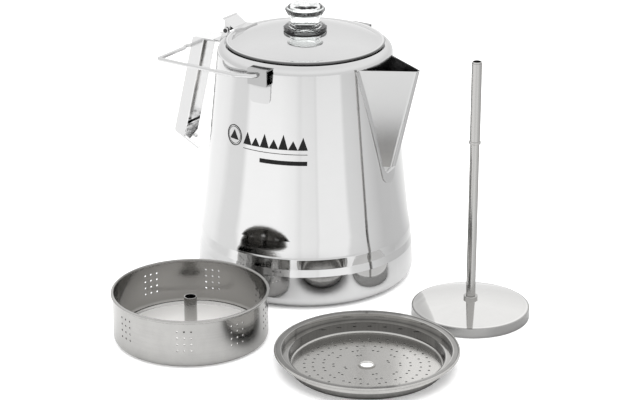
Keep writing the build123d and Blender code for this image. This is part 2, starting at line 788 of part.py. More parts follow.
with BuildPart() as basket_cup:
    with BuildSketch(basket_side) as cup_outline:
        with BuildLine():
            Polyline(
                (basket_bore_radius, basket_step_height),
                (basket_step_radius, basket_step_height),
                (basket_step_radius + basket_step_height, 0),
                (basket_radius, 0),
                (basket_radius, basket_height - basket_bead_radius),
                (basket_radius - basket_sheet, basket_height - basket_bead_radius),
                (basket_radius - basket_sheet, basket_sheet),
                (basket_step_radius + basket_step_height, basket_sheet),
                (basket_step_radius, basket_step_height + basket_sheet),
                (basket_bore_radius, basket_step_height + basket_sheet),
                close=True,
            )
        make_face()
        outer_corner = cup_outline.vertices().sort_by_distance((basket_radius, 0))[0]
        fillet(outer_corner, basket_corner_radius)
        inner_corner_point = (basket_radius - basket_sheet, basket_sheet)
        inner_corner_vertex = cup_outline.vertices().sort_by_distance(inner_corner_point)[0]
        fillet(inner_corner_vertex, basket_corner_radius - basket_sheet)
        with Locations((basket_radius, basket_height - basket_bead_radius)):
            Circle(basket_bead_radius)
    revolve(axis=basket_axis)
    with Locations(*basket_holes):
        Cylinder(basket_hole_radius, 4 * basket_sheet, mode=Mode.SUBTRACT)
basket_cup.part.label = "basket_cup"
export_step(basket_cup.part, "parts/basket_cup.step")

# Basket tube: flanged sleeve standing on the floor, sliding on the pump stem in use.
basket_floor = basket_step_height + basket_sheet
with BuildPart() as basket_tube:
    with BuildSketch(Plane(origin=(basket_x, basket_y, basket_floor))):
        Circle(basket_tube_flange_radius)
        Circle(basket_bore_radius, mode=Mode.SUBTRACT)
    extrude(amount=basket_tube_flange)
    with BuildSketch(Plane(origin=(basket_x, basket_y, basket_floor))):
        Circle(basket_tube_radius)
        Circle(basket_bore_radius, mode=Mode.SUBTRACT)
    extrude(amount=basket_tube_top - basket_floor)
basket_tube.part.label = "basket_tube"
export_step(basket_tube.part, "parts/basket_tube.step")

# Spreader plate: perforated dish with a ledge, a step and a flat flange rolled at the rim.
spreader_side = Plane(origin=(spreader_x, spreader_y, 0), x_dir=(1, 0, 0), z_dir=(0, -1, 0))
spreader_axis = Axis((spreader_x, spreader_y, 0), (0, 0, 1))
spray_holes = []
for ring_radius, pair_count, phase in spreader_pair_rings:
    for pair in range(pair_count):
        for half in [-spreader_pair_half_angle, spreader_pair_half_angle]:
            angle = radians(phase + pair * 360 / pair_count + half)
            spray_holes.append((ring_radius * cos(angle), ring_radius * sin(angle)))
for place in range(spreader_outer_ring_count):
    angle = radians(spreader_outer_ring_phase + place * 360 / spreader_outer_ring_count)
    hole_x = spreader_outer_ring_radius * cos(angle)
    hole_y = spreader_outer_ring_radius * sin(angle)
    spray_holes.append((hole_x, hole_y))

flange_z = spreader_rim_top - spreader_bead_radius + spreader_sheet / 2
with BuildPart() as spreader_plate:
    with BuildSketch(spreader_side) as dish_outline:
        with BuildLine():
            Polyline(
                (spreader_bore_radius, 0),
                (spreader_dish_radius, 0),
                (spreader_dish_radius, spreader_ledge_top - spreader_sheet),
                (spreader_step_radius, spreader_ledge_top - spreader_sheet),
                (spreader_step_radius, flange_z - spreader_sheet),
                (spreader_rim_radius - spreader_bead_radius, flange_z - spreader_sheet),
                (spreader_rim_radius - spreader_bead_radius, flange_z),
                (spreader_step_radius - spreader_sheet, flange_z),
                (spreader_step_radius - spreader_sheet, spreader_ledge_top),
                (spreader_dish_radius - spreader_sheet, spreader_ledge_top),
                (spreader_dish_radius - spreader_sheet, spreader_sheet),
                (spreader_bore_radius, spreader_sheet),
                close=True,
            )
        make_face()
        outer_corner = dish_outline.vertices().sort_by_distance((spreader_dish_radius, 0))[0]
        fillet(outer_corner, spreader_dish_fillet)
        inner_corner_point = (spreader_dish_radius - spreader_sheet, spreader_sheet)
        inner_corner_vertex = dish_outline.vertices().sort_by_distance(inner_corner_point)[0]
        fillet(inner_corner_vertex, spreader_dish_fillet - spreader_sheet)
        with Locations((spreader_rim_radius - spreader_bead_radius, spreader_rim_top - spreader_bead_radius)):
            Circle(spreader_bead_radius)
        with Locations(((spreader_bore_radius + spreader_lip_radius) / 2, spreader_lip_height / 2)):
            Rectangle(spreader_lip_radius - spreader_bore_radius, spreader_lip_height)
    revolve(axis=spreader_axis)
    with BuildSketch(Plane(origin=(spreader_x, spreader_y, 0))):
        with Locations(*spray_holes):
            Circle(spreader_hole_radius)
    extrude(amount=spreader_sheet, mode=Mode.SUBTRACT)
spreader_plate.part.label = "spreader_plate"
export_step(spreader_plate.part, "parts/spreader_plate.step")

# Pump stem foot: shallow bell with an upright skirt and a flat hub.
stem_side = Plane(origin=(stem_x, stem_y, 0), x_dir=(1, 0, 0), z_dir=(0, -1, 0))
stem_axis = Axis((stem_x, stem_y, 0), (0, 0, 1))
inner_foot_radius = stem_foot_radius - stem_foot_sheet
with BuildPart() as stem_foot:
    with BuildSketch(stem_side):
        with BuildLine():
            Polyline((inner_foot_radius, 0), (stem_foot_radius, 0), (stem_foot_radius, stem_skirt_height))
            ThreePointArc(
                (stem_foot_radius, stem_skirt_height),
                (stem_foot_mid_radius, stem_foot_mid_z),
                (stem_hub_radius, stem_hub_top),
            )
            Polyline(
                (stem_hub_radius, stem_hub_top),
                (stem_tube_radius, stem_hub_top),
                (stem_tube_radius, stem_hub_top - stem_foot_sheet),
                (stem_hub_radius, stem_hub_top - stem_foot_sheet),
            )
            ThreePointArc(
                (stem_hub_radius, stem_hub_top - stem_foot_sheet),
                (stem_foot_mid_radius, stem_foot_mid_z - stem_foot_sheet),
                (inner_foot_radius, stem_skirt_height - stem_foot_sheet),
            )
            Line((inner_foot_radius, stem_skirt_height - stem_foot_sheet), (inner_foot_radius, 0))
        make_face()
    revolve(axis=stem_axis)
stem_foot.part.label = "stem_foot"
export_step(stem_foot.part, "parts/stem_foot.step")


def stem_ring(inner, outer, bottom, top):
    """A plain ring or tube on the stem's axis."""
    with BuildPart() as ring:
        with BuildSketch(Plane(origin=(stem_x, stem_y, bottom))):
            Circle(outer)
            Circle(inner, mode=Mode.SUBTRACT)
        extrude(amount=top - bottom)
    return ring.part


# Pump stem: riser tube through the hub, with a collar, a stop bead and an upper sleeve.
with BuildPart() as stem_tube:
    add(stem_ring(stem_bore_radius, stem_tube_radius, stem_tube_bottom, stem_top))
stem_tube.part.label = "stem_tube"
export_step(stem_tube.part, "parts/stem_tube.step")

with BuildPart() as stem_collar:
    add(stem_ring(stem_tube_radius, stem_collar_radius, stem_hub_top, stem_collar_top))
    fillet(stem_collar.edges().group_by(Axis.Z)[-1].sort_by(SortBy.RADIUS)[-1], stem_edge_round)
stem_collar.part.label = "stem_collar"
export_step(stem_collar.part, "parts/stem_collar.step")

with BuildPart() as stem_stop:
    add(stem_ring(stem_tube_radius, stem_stop_radius, stem_stop_bottom, stem_stop_top))
    for level in [0, -1]:
        fillet(stem_stop.edges().group_by(Axis.Z)[level].sort_by(SortBy.RADIUS)[-1], stem_edge_round)
stem_stop.part.label = "stem_stop"
export_step(stem_stop.part, "parts/stem_stop.step")

with BuildPart() as stem_sleeve:
    add(stem_ring(stem_tube_radius, stem_sleeve_radius, stem_stop_top, stem_sleeve_top))
stem_sleeve.part.label = "stem_sleeve"
export_step(stem_sleeve.part, "parts/stem_sleeve.step")
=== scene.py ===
import math
import bpy
import bmesh
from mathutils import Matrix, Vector


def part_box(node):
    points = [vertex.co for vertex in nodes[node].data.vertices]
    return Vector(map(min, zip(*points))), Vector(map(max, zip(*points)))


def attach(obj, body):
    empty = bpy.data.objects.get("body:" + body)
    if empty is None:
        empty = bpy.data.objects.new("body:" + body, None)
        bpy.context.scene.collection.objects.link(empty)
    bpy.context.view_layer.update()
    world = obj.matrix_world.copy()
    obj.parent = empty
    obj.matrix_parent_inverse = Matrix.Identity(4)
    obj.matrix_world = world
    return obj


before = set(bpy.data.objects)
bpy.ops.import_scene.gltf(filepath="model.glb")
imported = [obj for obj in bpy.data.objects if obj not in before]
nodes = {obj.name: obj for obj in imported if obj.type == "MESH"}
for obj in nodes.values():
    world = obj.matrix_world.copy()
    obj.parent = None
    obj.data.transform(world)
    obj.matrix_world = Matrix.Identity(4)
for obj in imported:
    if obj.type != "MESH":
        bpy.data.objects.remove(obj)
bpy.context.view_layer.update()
scene = bpy.context.scene
scene.view_settings.view_transform = "Standard"


# ------------------------------------------------------------------ node helpers
class Graph:
    """Small helper that builds one node tree."""

    def __init__(self, tree):
        self.tree = tree
        self.tree.nodes.clear()

    def new(self, kind, **settings):
        node = self.tree.nodes.new(kind)
        for key, value in settings.items():
            setattr(node, key, value)
        return node

    def link(self, source, target):
        self.tree.links.new(source, target)

    def feed(self, socket, value):
        if isinstance(value, bpy.types.NodeSocket):
            self.link(value, socket)
        elif value is not None:
            socket.default_value = value

    def math(self, operation, a, b=None, c=None):
        node = self.new("ShaderNodeMath", operation=operation)
        for socket, value in zip(node.inputs, (a, b, c)):
            self.feed(socket, value)
        return node.outputs[0]

    def vector(self, x, y, z):
        node = self.new("ShaderNodeCombineXYZ")
        for socket, value in zip(node.inputs, (x, y, z)):
            self.feed(socket, value)
        return node.outputs[0]

    def split(self, source):
        node = self.new("ShaderNodeSeparateXYZ")
        self.link(source, node.inputs[0])
        return node.outputs

    def noise(self, where, scale, detail, roughness):
        node = self.new("ShaderNodeTexNoise")
        self.link(where, node.inputs["Vector"])
        node.inputs["Scale"].default_value = scale
        node.inputs["Detail"].default_value = detail
        node.inputs["Roughness"].default_value = roughness
        return node.outputs["Fac"]

    def spread(self, source, low, high, to_low, to_high):
        node = self.new("ShaderNodeMapRange")
        self.link(source, node.inputs["Value"])
        node.inputs["From Min"].default_value = low
        node.inputs["From Max"].default_value = high
        node.inputs["To Min"].default_value = to_low
        node.inputs["To Max"].default_value = to_high
        return node.outputs["Result"]

    def mix(self, factor, a, b):
        node = self.new("ShaderNodeMix", data_type="RGBA")
        self.feed(node.inputs[0], factor)
        self.feed(node.inputs[6], a)
        self.feed(node.inputs[7], b)
        return node.outputs[2]

    def bump(self, height, strength, distance, normal=None):
        node = self.new("ShaderNodeBump")
        node.inputs["Strength"].default_value = strength
        node.inputs["Distance"].default_value = distance
        self.link(height, node.inputs["Height"])
        if normal is not None:
            self.link(normal, node.inputs["Normal"])
        return node.outputs["Normal"]


def around(graph, centre):
    """Radius, angle and height of a point about an upright axis, in the row frame."""
    place = graph.new("ShaderNodeTexCoord").outputs["Object"]
    x, y, z = graph.split(place)
    dx = graph.math("SUBTRACT", x, centre[0])
    dy = graph.math("SUBTRACT", y, centre[1])
    square = graph.math("ADD", graph.math("MULTIPLY", dx, dx), graph.math("MULTIPLY", dy, dy))
    return graph.math("SQRT", square), graph.math("ARCTAN2", dy, dx), z, place


def grey(level):
    """Neutral colour of one level."""
    return (level, level, level)


def opaque(colour):
    """Colour with full alpha, as a colour socket wants it."""
    return tuple(colour) + (1,)


def ramp(graph, source, stops):
    """Grey levels along a value that runs from 0 to 1; stops are (position, level)."""
    node = graph.new("ShaderNodeValToRGB")
    graph.link(source, node.inputs[0])
    elements = node.color_ramp.elements
    for element, (position, level) in zip(elements, (stops[0], stops[-1])):
        element.position = position
        element.color = opaque(grey(level))
    for position, level in stops[1:-1]:
        elements.new(position).color = opaque(grey(level))
    return node.outputs["Color"]


def new_surface(name):
    """A material with one shader; gives back the material, its graph and the shader."""
    material = bpy.data.materials.new(name)
    material.use_nodes = True
    g = Graph(material.node_tree)
    shader = g.new("ShaderNodeBsdfPrincipled")
    out = g.new("ShaderNodeOutputMaterial")
    g.link(shader.outputs[0], out.inputs[0])
    return material, g, shader


# ------------------------------------------------------------------ zones of a steel piece
# Each zone changes the tone or the polish of one part of a piece. The tones were chosen to come
# near the photographed ones, and stand partly for what the real piece mirrors.
class Paint:
    """What a zone may read and change while a steel material is built."""

    def __init__(self, g, shader, centre, colour):
        self.g = g
        self.shader = shader
        self.colour = colour
        self.radius, self.angle, self.height, self.place = around(g, centre)
        self.level = None
        self.shade = None


def lower_zone(top, rim, roughness, colour, metallic=1.0):
    """Everything below a height and inside a radius gets its own polish and tone; the two tones of
    one steel are painted light and shade.
    """
    soft_top = 0.0006
    soft_rim = 0.0015

    def apply(paint):
        g = paint.g
        low = g.spread(paint.height, top, top + soft_top, 1.0, 0.0)
        inside = g.spread(paint.radius, rim - soft_rim, rim, 1.0, 0.0)
        share = g.math("MULTIPLY", low, inside)
        kept = g.math("MULTIPLY", paint.level, g.math("SUBTRACT", 1.0, share))
        paint.level = g.math("ADD", kept, g.math("MULTIPLY", share, roughness))
        paint.shade = g.mix(share, paint.shade, opaque(colour))
        g.link(g.spread(share, 0.0, 1.0, 1.0, metallic), paint.shader.inputs["Metallic"])

    return apply


def inner_wall_painted_shade(radius, colour):
    """The inside of a straight wall, above its floor, painted darker as painted shade."""
    soft = 0.0002
    floor_low = 0.005
    floor_high = 0.007

    def apply(paint):
        g = paint.g
        within = g.spread(paint.radius, radius - soft, radius, 1.0, 0.0)
        off_floor = g.spread(paint.height, floor_low, floor_high, 0.0, 1.0)
        paint.shade = g.mix(g.math("MULTIPLY", within, off_floor), paint.shade, opaque(colour))

    return apply


def painted_light_and_shade_rings(tones):
    """Rings of painted highlight and painted shade; tones are (radius, factor), from the inside to
    the outside.
    """
    first, last = tones[0][0], tones[-1][0]

    def apply(paint):
        g = paint.g
        share = g.spread(paint.radius, first, last, 0.0, 1.0)
        stops = [((radius - first) / (last - first), tone) for radius, tone in tones]
        multiply = g.new("ShaderNodeMix", data_type="RGBA", blend_type="MULTIPLY")
        multiply.inputs[0].default_value = 1.0
        g.link(paint.shade, multiply.inputs[6])
        g.link(ramp(g, share, stops), multiply.inputs[7])
        paint.shade = multiply.outputs[2]

    return apply


def hole_walls_painted_shade(radii, heights):
    """The walls of small holes: what lies between two radii and two heights, in the sheet, painted
    near black as painted shade.
    """
    extra_roughness = 0.6
    # near black: the painted shade of the hole walls
    hole_shade_colour = opaque(grey(0.015))

    def apply(paint):
        g = paint.g
        ring = g.math("MULTIPLY", g.math("GREATER_THAN", paint.radius, radii[0]),
                      g.math("LESS_THAN", paint.radius, radii[1]))
        band = g.math("MULTIPLY", g.math("GREATER_THAN", paint.height, heights[0]),
                      g.math("LESS_THAN", paint.height, heights[1]))
        edge = g.math("MULTIPLY", ring, band)
        paint.shade = g.mix(edge, paint.shade, hole_shade_colour)
        paint.level = g.math("ADD", paint.level, g.math("MULTIPLY", edge, extra_roughness))

    return apply


def strip_inside_painted_light(half_width, colour):
    """The inside of a folded strip, between its two flanges, painted paler as painted light."""

    def apply(paint):
        g = paint.g
        y = g.split(paint.place)[1]
        between = g.math("LESS_THAN", g.math("ABSOLUTE", y), half_width)
        paint.shade = g.mix(between, paint.shade, opaque(colour))

    return apply


def shaded_hollows(amount, reach):
    """Corners and hollows of the piece itself get darker."""

    def apply(paint):
        g = paint.g
        closed = g.new("ShaderNodeAmbientOcclusion", only_local=True, samples=8)
        closed.inputs["Distance"].default_value = reach
        open_share = g.spread(closed.outputs["AO"], 0.25, 0.75, 0.0, 1.0)
        deep = opaque(c * (1 - amount) for c in paint.colour)
        paint.shade = g.mix(open_share, deep, paint.shade)

    return apply


def painted_shade_behind_spout(bottom, top, half_width_per_height, amount):
    """A dark triangle of painted shade on the pot wall, where the spout covers it."""
    front_low = 0.070
    front_high = 0.072
    soft_bottom = 0.02
    soft_top = 0.002
    # near black: the painted shade behind the spout
    dark = opaque(grey(0.02))

    def apply(paint):
        g = paint.g
        x, y = g.split(paint.place)[:2]
        front = g.spread(x, front_low, front_high, 0.0, 1.0)
        above = g.spread(paint.height, bottom, bottom + soft_bottom, 0.0, 1.0)
        below = g.spread(paint.height, top - soft_top, top, 1.0, 0.0)
        half_width = g.math("MULTIPLY", g.math("SUBTRACT", paint.height, bottom),
                            half_width_per_height)
        across = g.math("LESS_THAN", g.math("ABSOLUTE", y), half_width)
        zone = g.math("MULTIPLY", g.math("MULTIPLY", front, above),
                      g.math("MULTIPLY", below, across))
        paint.shade = g.mix(g.math("MULTIPLY", zone, amount), paint.shade, dark)

    return apply


# ------------------------------------------------------------------ steel
LINES_PER_METRE = 2600.0
STREAKS_PER_METRE = 60.0
STRIP_LINES_PER_METRE = 1500.0
SMALLEST_ROUGHNESS = 0.015
WAVE_DEPTH = 0.002
LINE_DEPTH = 0.0002


def grain_spaces(paint, grain):
    """Two stretched spaces, for fine lines and for broad streaks, that follow the working marks."""
    g = paint.g
    if grain == "length":
        x, y, z = g.split(paint.place)
        fine = g.vector(g.math("MULTIPLY", x, STRIP_LINES_PER_METRE),
                        g.math("MULTIPLY", y, STRIP_LINES_PER_METRE),
                        g.math("MULTIPLY", z, STREAKS_PER_METRE))
        return fine, paint.place
    across = paint.height if grain == "wall" else paint.radius
    fine = g.vector(g.math("MULTIPLY", paint.angle, 0.9), 0.0,
                    g.math("MULTIPLY", across, LINES_PER_METRE))
    broad = g.vector(g.math("MULTIPLY", paint.angle, 5.0), 0.0,
                     g.math("MULTIPLY", across, STREAKS_PER_METRE))
    return fine, broad


def metal(name, colour, rough, centre=(0, 0), grain="spun", grain_depth=0.0, smudge=0.02,
          waviness=0.0, anisotropic=0.0, tint=0.03, zones=()):
    """Stainless steel with working marks, smudges, a little unevenness and its own zones.

    The colour is a linear tone from 0 to 1, rough is the middle roughness, and centre is the
    piece's upright axis. Heights and radii in the zones are metres in the row frame.
    """
    material, g, shader = new_surface(name)
    shader.inputs["Metallic"].default_value = 1.0
    shader.inputs["Anisotropic"].default_value = anisotropic
    paint = Paint(g, shader, centre, colour)
    fine, broad = grain_spaces(paint, grain)
    lines = g.noise(fine, 1.0, 4.0, 0.65)
    patches = g.noise(paint.place, 38.0, 4.0, 0.6)
    streaks = g.noise(broad, 1.0, 3.0, 0.6)
    uneven = g.math("ADD", g.math("MULTIPLY", lines, 0.5), g.math("MULTIPLY", streaks, 0.5))
    level = g.spread(uneven, 0.3, 0.7, max(SMALLEST_ROUGHNESS, rough - smudge), rough + smudge)
    smear = g.spread(patches, 0.45, 0.8, 0.0, smudge)
    paint.level = g.math("ADD", level, smear)
    dark = opaque(c * (1 - 2 * tint) for c in colour)
    light = opaque(min(1, c * (1 + tint)) for c in colour)
    paint.shade = g.mix(g.spread(uneven, 0.3, 0.7, 0, 1), dark, light)
    for zone in zones:
        zone(paint)
    g.link(paint.level, shader.inputs["Roughness"])
    g.link(paint.shade, shader.inputs["Base Color"])
    normal = None
    if waviness:
        wave = g.noise(paint.place, 14.0, 2.0, 0.5)
        normal = g.bump(wave, waviness, WAVE_DEPTH)
    if grain_depth:
        normal = g.bump(lines, grain_depth, LINE_DEPTH, normal)
    if normal is not None:
        g.link(normal, shader.inputs["Normal"])
    if anisotropic:
        # the working marks run round the piece's own axis
        x, y = g.split(paint.place)[:2]
        along = g.vector(g.math("SUBTRACT", centre[1], y), g.math("SUBTRACT", x, centre[0]), 0.0)
        tangent = g.new("ShaderNodeVectorTransform", vector_type="VECTOR",
                        convert_from="OBJECT", convert_to="WORLD")
        g.link(along, tangent.inputs[0])
        g.link(tangent.outputs[0], shader.inputs["Tangent"])
    return material


def centre_of(name):
    """Middle of a node's box, seen from above."""
    low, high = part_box(name)
    return (low.x + high.x) / 2, (low.y + high.y) / 2


basket_centre = centre_of("basket_cup")
spreader_centre = centre_of("spreader_plate")
stem_centre = centre_of("stem_foot")
lid_low, lid_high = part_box("lid_dome")
lid_edge = (lid_high.y - lid_low.y) / 2
foot_low, foot_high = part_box("stem_foot")
foot_edge = (foot_high.x - foot_low.x) / 2

# The pot wall behind the spout, inside and out, is painted near black: painted shade.
pot_steel = metal("pot_steel", grey(0.61), 0.04, grain="wall", grain_depth=0.02,
                  smudge=0.012, waviness=0.02, tint=0.01,
                  zones=[painted_shade_behind_spout(bottom=0.112, top=0.214, half_width_per_height=0.29,
                                           amount=0.9)])
spout_steel = metal("spout_steel", grey(0.56), 0.20, grain="wall", grain_depth=0.02,
                    smudge=0.012, waviness=0.05, tint=0.01,
                    zones=[shaded_hollows(amount=0.93, reach=0.05)])
# Here the zone is the welded tongue, below the channel's shelf and at any radius.
# The ear's two tones, the paler tongue and the darker rest, are painted light and shade.
ear_steel = metal("ear_steel", grey(0.36), 0.08, grain="length", grain_depth=0.02,
                  smudge=0.02, tint=0.02,
                  zones=[lower_zone(top=0.2030, rim=0.30, roughness=0.06, colour=grey(0.54)),
                         shaded_hollows(amount=0.95, reach=0.012)])
# The lid's rim rings are painted highlight and painted shade.
lid_painted_rings = [(0.9 * lid_edge, 1.0), (lid_edge - 0.0030, 1.0), (lid_edge - 0.0022, 1.25),
             (lid_edge - 0.0010, 1.1), (lid_edge - 0.0003, 0.35), (lid_edge, 0.2)]
lid_steel = metal("lid_steel", grey(0.60), 0.07, grain="spun", grain_depth=0.03,
                  smudge=0.02, waviness=0.03, tint=0.01, zones=[painted_light_and_shade_rings(lid_painted_rings)])
strip_steel = metal("strip_steel", grey(0.68), 0.10, grain="length", grain_depth=0.03,
                    smudge=0.03, tint=0.02, zones=[shaded_hollows(amount=0.6, reach=0.008)])
handle_steel = metal("handle_steel", grey(0.74), 0.09, grain="length", grain_depth=0.03,
                     smudge=0.02, tint=0.02,
                     # The paler inside of the strip is painted light.
                     zones=[strip_inside_painted_light(half_width=0.0111, colour=grey(0.92)),
                            shaded_hollows(amount=0.75, reach=0.006)])
wire_steel = metal("wire_steel", grey(0.62), 0.14, grain="length", smudge=0.03, tint=0.03)
# The pin's near-black tone, far below that of steel, is painted shade.
pin_steel = metal("pin_steel", grey(0.06), 0.3, grain="length", smudge=0.05, tint=0.05)
basket_steel = metal("basket_steel", (0.42, 0.415, 0.405), 0.11, basket_centre, grain="wall",
                     grain_depth=0.10, smudge=0.05, anisotropic=0.6, tint=0.06,
                     # The basket's floor is pale and partly non-metallic so that the overhead sheet
                     # lights it: painted light.
                     zones=[lower_zone(top=0.0045, rim=0.0655, roughness=0.42,
                                       colour=(0.80, 0.79, 0.775), metallic=0.3),
                            # The darker inside of the basket wall is painted shade.
                            inner_wall_painted_shade(radius=0.0670, colour=(0.26, 0.255, 0.245)),
                            # The near-black hole walls are painted shade.
                            hole_walls_painted_shade(radii=(0.0669, 0.0675), heights=(0.012, 0.037))])
tube_steel = metal("tube_steel", (0.46, 0.455, 0.445), 0.13, basket_centre, grain="wall",
                   grain_depth=0.05, smudge=0.04, tint=0.05)
# The tray's rim and wall rings are painted highlights and painted shade.
tray_painted_rings = [(0.060, 1.0), (0.0650, 1.0), (0.0656, 1.25), (0.0660, 0.42), (0.0663, 0.42),
              (0.0666, 0.85), (0.0672, 1.7), (0.0678, 1.35), (0.0712, 1.35), (0.0722, 0.75),
              (0.0730, 1.7), (0.0736, 1.0), (0.0765, 0.9), (0.0773, 0.6), (0.0780, 1.7),
              (0.080, 1.1)]
tray_steel = metal("tray_steel", (0.34, 0.335, 0.325), 0.08, spreader_centre, grain="spun",
                   grain_depth=0.12, smudge=0.05, anisotropic=0.6, tint=0.12,
                   # The tray's paler floor and darker rim and wall are painted light and shade.
                   zones=[lower_zone(top=0.004, rim=0.066, roughness=0.16,
                                     colour=(0.60, 0.59, 0.57)),
                          painted_light_and_shade_rings(tray_painted_rings),
                          # The near-black hole walls are painted shade.
                          hole_walls_painted_shade(radii=(0.012, 0.060), heights=(0.0001, 0.0006)),
                          shaded_hollows(amount=0.45, reach=0.010)])
# The foot's rings near its edge are painted highlight and painted shade.
foot_painted_rings = [(0.5 * foot_edge, 1.0), (0.93 * foot_edge, 1.0), (0.965 * foot_edge, 1.1),
              (0.985 * foot_edge, 0.48), (foot_edge, 0.48)]
foot_steel = metal("foot_steel", (0.68, 0.675, 0.665), 0.035, stem_centre, grain="spun",
                   grain_depth=0.015, smudge=0.015, waviness=0.05, tint=0.015,
                   zones=[painted_light_and_shade_rings(foot_painted_rings)])
stem_steel = metal("stem_steel", (0.44, 0.435, 0.425), 0.17, stem_centre, grain="spun",
                   grain_depth=0.06, smudge=0.04, anisotropic=0.2, tint=0.04)


def glass_material():
    """Clear pressed glass with faint ripples."""
    material, g, shader = new_surface("clear_glass")
    place = g.new("ShaderNodeTexCoord").outputs["Object"]
    shader.inputs["Transmission Weight"].default_value = 1.0
    shader.inputs["IOR"].default_value = 1.5
    shader.inputs["Base Color"].default_value = (0.97, 0.985, 0.98, 1)
    cloud = g.noise(place, 90.0, 2.0, 0.5)
    g.link(g.spread(cloud, 0.4, 0.8, 0.0, 0.04), shader.inputs["Roughness"])
    ripple = g.noise(place, 160.0, 2.0, 0.5)
    g.link(g.bump(ripple, 0.25, 0.0008), shader.inputs["Normal"])
    return material


def rubber_material():
    """Dull dark silicone."""
    material, g, shader = new_surface("dark_gasket")
    place = g.new("ShaderNodeTexCoord").outputs["Object"]
    grain = g.noise(place, 900.0, 3.0, 0.6)
    dark = g.mix(g.spread(grain, 0.3, 0.7, 0, 1), opaque(grey(0.012)), opaque(grey(0.03)))
    g.link(dark, shader.inputs["Base Color"])
    g.link(g.spread(grain, 0.3, 0.7, 0.45, 0.65), shader.inputs["Roughness"])
    g.link(g.bump(grain, 0.3, 0.0002), shader.inputs["Normal"])
    return material


finish = {
    "pot_wall": pot_steel, "pot_base": pot_steel, "spout": spout_steel,
    "handle": handle_steel, "handle_arm": handle_steel, "handle_rivets": strip_steel,
    "hinge_bracket": strip_steel, "hinge_leaf": strip_steel, "hinge_pin": pin_steel,
    "ear_right": ear_steel, "ear_left": ear_steel, "bail": wire_steel,
    "lid_dome": lid_steel, "lid_collar": lid_steel,
    "knob_gasket": rubber_material(), "knob_glass": glass_material(),
    "basket_cup": basket_steel, "basket_tube": tube_steel,
    "spreader_plate": tray_steel,
    "stem_foot": foot_steel, "stem_tube": stem_steel, "stem_collar": stem_steel,
    "stem_stop": stem_steel, "stem_sleeve": stem_steel,
}
for name, node in nodes.items():
    node.data.materials.clear()
    node.data.materials.append(finish[name])


# ------------------------------------------------------------------ printed mark on the pot
# A plain decoration of simple shapes, with no lettering.
INK_LIFT = 0.00025
MARK_TURN = math.radians(-81.5)
MARK_HEIGHT = 0.1525
OUTSIDE_EVERYTHING = 0.3
RIDGE_END_HEIGHT = 0.0001
wall_node = nodes["pot_wall"]


def wall_radius(height, turn):
    """Radius of the outside of the pot wall, found by casting a ray inwards."""
    outward = Vector((math.cos(turn), math.sin(turn), 0))
    start = outward * OUTSIDE_EVERYTHING + Vector((0, 0, height))
    where = wall_node.ray_cast(start, -outward)[1]
    return Vector((where.x, where.y)).length


def on_wall(across, up):
    """Point on the wall: metres across and up from the middle of the mark."""
    height = MARK_HEIGHT + up
    radius = wall_radius(height, MARK_TURN) + INK_LIFT
    turn = MARK_TURN + across / radius
    return radius * math.cos(turn), radius * math.sin(turn), height


def ink_patch(name, outlines):
    """Thin printed shapes that follow the wall; each outline is a list of strips."""
    mesh = bpy.data.meshes.new(name)
    bm = bmesh.new()
    for strip in outlines:
        rows = [[bm.verts.new(on_wall(x, z)) for x, z in pair] for pair in strip]
        for (a, b), (c, d) in zip(rows, rows[1:]):
            bm.faces.new((a, b, d, c))
    bm.normal_update()
    bm.to_mesh(mesh)
    bm.free()
    patch = bpy.data.objects.new(name, mesh)
    scene.collection.objects.link(patch)
    patch.data.materials.append(ink)
    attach(patch, "pot")
    return patch


def ring_strip(centre_x, centre_z, inner, outer, steps=40):
    """Strip that closes into a ring."""
    strip = []
    for i in range(steps + 1):
        a = 2 * math.pi * i / steps
        strip.append([(centre_x + r * math.cos(a), centre_z + r * math.sin(a))
                      for r in (inner, outer)])
    return strip


def bar_strip(x_from, x_to, z_from, z_to, steps=24):
    """Level bar, cut into short lengths so that it bends round the wall."""
    width = x_to - x_from
    return [[(x_from + width * i / steps, z) for z in (z_from, z_to)] for i in range(steps + 1)]


def ridge_strip(x_from, x_to, z_from, peaks, steps=8):
    """Row of hills on a level line, as a plain decoration."""
    strip = []
    pitch = (x_to - x_from) / len(peaks)
    for i, peak in enumerate(peaks):
        for j in range(steps):
            share = j / steps
            rise = peak * (1 - abs(2 * share - 1))
            strip.append([(x_from + pitch * (i + share), z) for z in (z_from, z_from + rise)])
    strip.append([(x_to, z_from), (x_to, z_from + RIDGE_END_HEIGHT)])
    return strip


def ink_material():
    """Flat black screen print."""
    material, g, shader = new_surface("black_ink")
    place = g.new("ShaderNodeTexCoord").outputs["Object"]
    screen = g.noise(place, 1600.0, 2.0, 0.5)
    black = g.mix(g.spread(screen, 0.4, 0.7, 0, 1), opaque(grey(0.006)), opaque(grey(0.02)))
    g.link(black, shader.inputs["Base Color"])
    g.link(g.spread(screen, 0.3, 0.7, 0.35, 0.5), shader.inputs["Roughness"])
    shader.inputs["Specular IOR Level"].default_value = 0.12
    g.link(g.bump(screen, 0.1, 0.0001), shader.inputs["Normal"])
    return material


ink = ink_material()
# metres across and up from the middle of the mark
badge_x = -0.0335
badge_half = 0.0053
line_start = -0.0220
line_end = 0.0400
small_bar_start = -0.0040
peaks = [0.0112, 0.0078, 0.0126, 0.0088, 0.0136, 0.0084, 0.0118]
ink_patch("print_badge", [ring_strip(badge_x, 0, inner=0.0086, outer=0.0094),
                          ring_strip(badge_x, 0, inner=0.0074, outer=0.0078),
                          ridge_strip(badge_x - badge_half, badge_x + badge_half,
                                      z_from=-0.0036, peaks=[0.0086])])
ink_patch("print_ridge", [ridge_strip(line_start, line_end, z_from=-0.0052, peaks=peaks)])
ink_patch("print_rule", [bar_strip(line_start, line_end, z_from=-0.0094, z_to=-0.0089)])
ink_patch("print_small_bar", [bar_strip(small_bar_start, line_end, z_from=-0.0190,
                                        z_to=-0.0152)])

